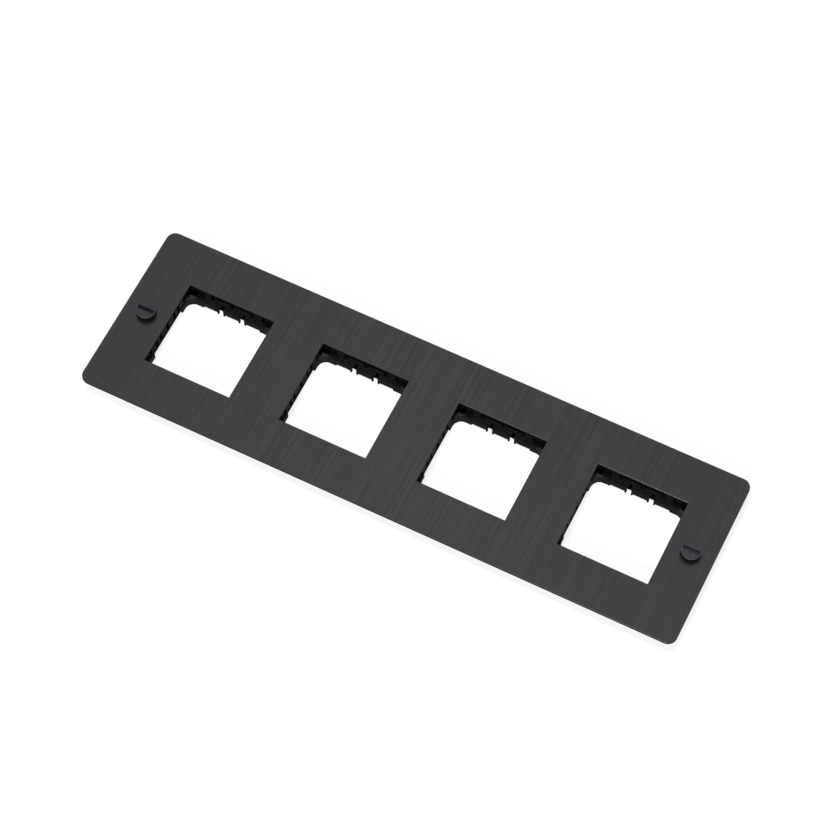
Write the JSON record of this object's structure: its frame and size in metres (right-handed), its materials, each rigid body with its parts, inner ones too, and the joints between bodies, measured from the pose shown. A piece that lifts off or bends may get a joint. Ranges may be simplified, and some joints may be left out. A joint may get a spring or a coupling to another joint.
{
  "type": "wall plate",
  "caption": "Long dark sheet-metal wall plate with a row of square windows, a moulded module frame behind each, and a captive coin-slot screw at both ends.",
  "frame": {"origin": "middle of the plate's flat back face, on the wall plane", "axes": "+X along the plate's length, +Y across it, +Z out of its front"},
  "size_m": [0.303, 0.09, 0.0164],
  "materials": {
    "plate_metal": "black anodised, brushed across the plate",
    "frame_plastic": "black moulded, fine eroded texture",
    "screw_metal": "black plated, turned",
    "clip_steel": "spring steel",
    "stud_metal": "bright",
    "nut_metal": "zinc plated"
  },
  "bodies": {
    "plate": {"face_plate": "plate_metal", "module_frame_1": "frame_plastic", "module_frame_2": "frame_plastic", "module_frame_3": "frame_plastic", "module_frame_4": "frame_plastic", "lower_stud_1": "stud_metal", "upper_stud_1": "stud_metal", "lower_stud_2": "stud_metal", "upper_stud_2": "stud_metal", "lower_stud_3": "stud_metal", "upper_stud_3": "stud_metal", "lower_stud_4": "stud_metal", "upper_stud_4": "stud_metal", "lower_nut_1": "nut_metal", "upper_nut_1": "nut_metal", "lower_nut_2": "nut_metal", "upper_nut_2": "nut_metal", "lower_nut_3": "nut_metal", "upper_nut_3": "nut_metal", "lower_nut_4": "nut_metal", "upper_nut_4": "nut_metal"},
    "left_screw": {"left_screw": "screw_metal", "left_screw_clip": "clip_steel"},
    "right_screw": {"right_screw": "screw_metal", "right_screw_clip": "clip_steel"}
  },
  "joints": [
    {"name": "left_screw_turn", "type": "hinge", "parent": "plate", "child": "left_screw", "pos_m": [-0.1402, 0, 0.0016], "axis": [0, 0, 1], "continuous": true},
    {"name": "right_screw_turn", "type": "hinge", "parent": "plate", "child": "right_screw", "pos_m": [0.1402, 0, 0.0016], "axis": [0, 0, 1], "continuous": true}
  ]
}
